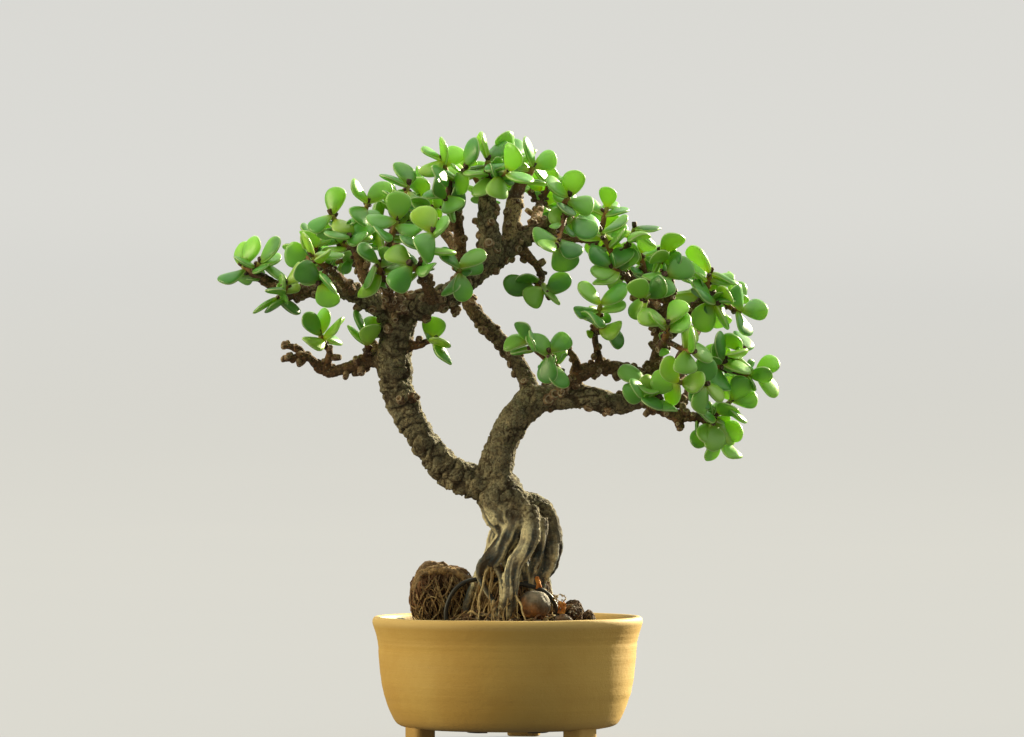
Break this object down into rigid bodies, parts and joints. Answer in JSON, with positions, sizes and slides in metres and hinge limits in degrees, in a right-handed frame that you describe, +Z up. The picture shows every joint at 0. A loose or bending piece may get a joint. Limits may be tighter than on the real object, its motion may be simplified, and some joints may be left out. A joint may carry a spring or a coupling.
{
  "type": "potted jade plant",
  "caption": "Small bonsai-style jade plant with two twisting trunks and an umbrella of plump leaves, in a round footed clay pot.",
  "frame": {"origin": "on the standing surface, under the middle of the whole plant's box", "axes": "+Z up, +X to the right as seen from the front, -Y the front"},
  "size_m": [0.226, 0.1109, 0.2449],
  "materials": {
    "clay": "unglazed buff clay, matt",
    "soil": "gritty soil mix",
    "bark": "rough ringed bark",
    "leaf": "waxy, satin",
    "fibre": "matted root fibre",
    "pebble": "water-worn stone",
    "lava": "rough porous stone",
    "coating": "plastic wire coating",
    "screen": "moulded mesh",
    "chip": "dry bark chip"
  },
  "bodies": {
    "root": {"anchor_wire": "coating", "bark_chip": "chip", "drain_screen": "screen", "grit": "pebble", "lava_back": "lava", "lava_front": "lava", "lava_side": "lava", "pebble": "pebble", "pot": "clay", "root_mass": "fibre", "soil": "soil", "spray_arm_front": "leaf", "spray_back_far_left": "leaf", "spray_back_far_right": "leaf", "spray_back_left": "leaf", "spray_back_left_high": "leaf", "spray_back_low_right": "leaf", "spray_back_mid": "leaf", "spray_back_right": "leaf", "spray_back_right_high": "leaf", "spray_back_top": "leaf", "spray_back_top_right": "leaf", "spray_droop_end": "leaf", "spray_droop_root": "leaf", "spray_hang": "leaf", "spray_inner": "leaf", "spray_knuckle": "leaf", "spray_left_front": "leaf", "spray_left_high": "leaf", "spray_left_mid": "leaf", "spray_left_tip": "leaf", "spray_left_under": "leaf", "spray_low_left": "leaf", "spray_low_spur": "leaf", "spray_mid_front": "leaf", "spray_rise_front": "leaf", "spray_rise_left": "leaf", "spray_rise_mid": "leaf", "spray_rise_right": "leaf", "spray_side_end": "leaf", "spray_side_low": "leaf", "spray_top_left": "leaf", "spray_top_pale": "leaf", "spray_top_right": "leaf", "spray_top_stem": "leaf", "spray_trunk": "leaf", "trunk": "bark"}
  },
  "joints": []
}
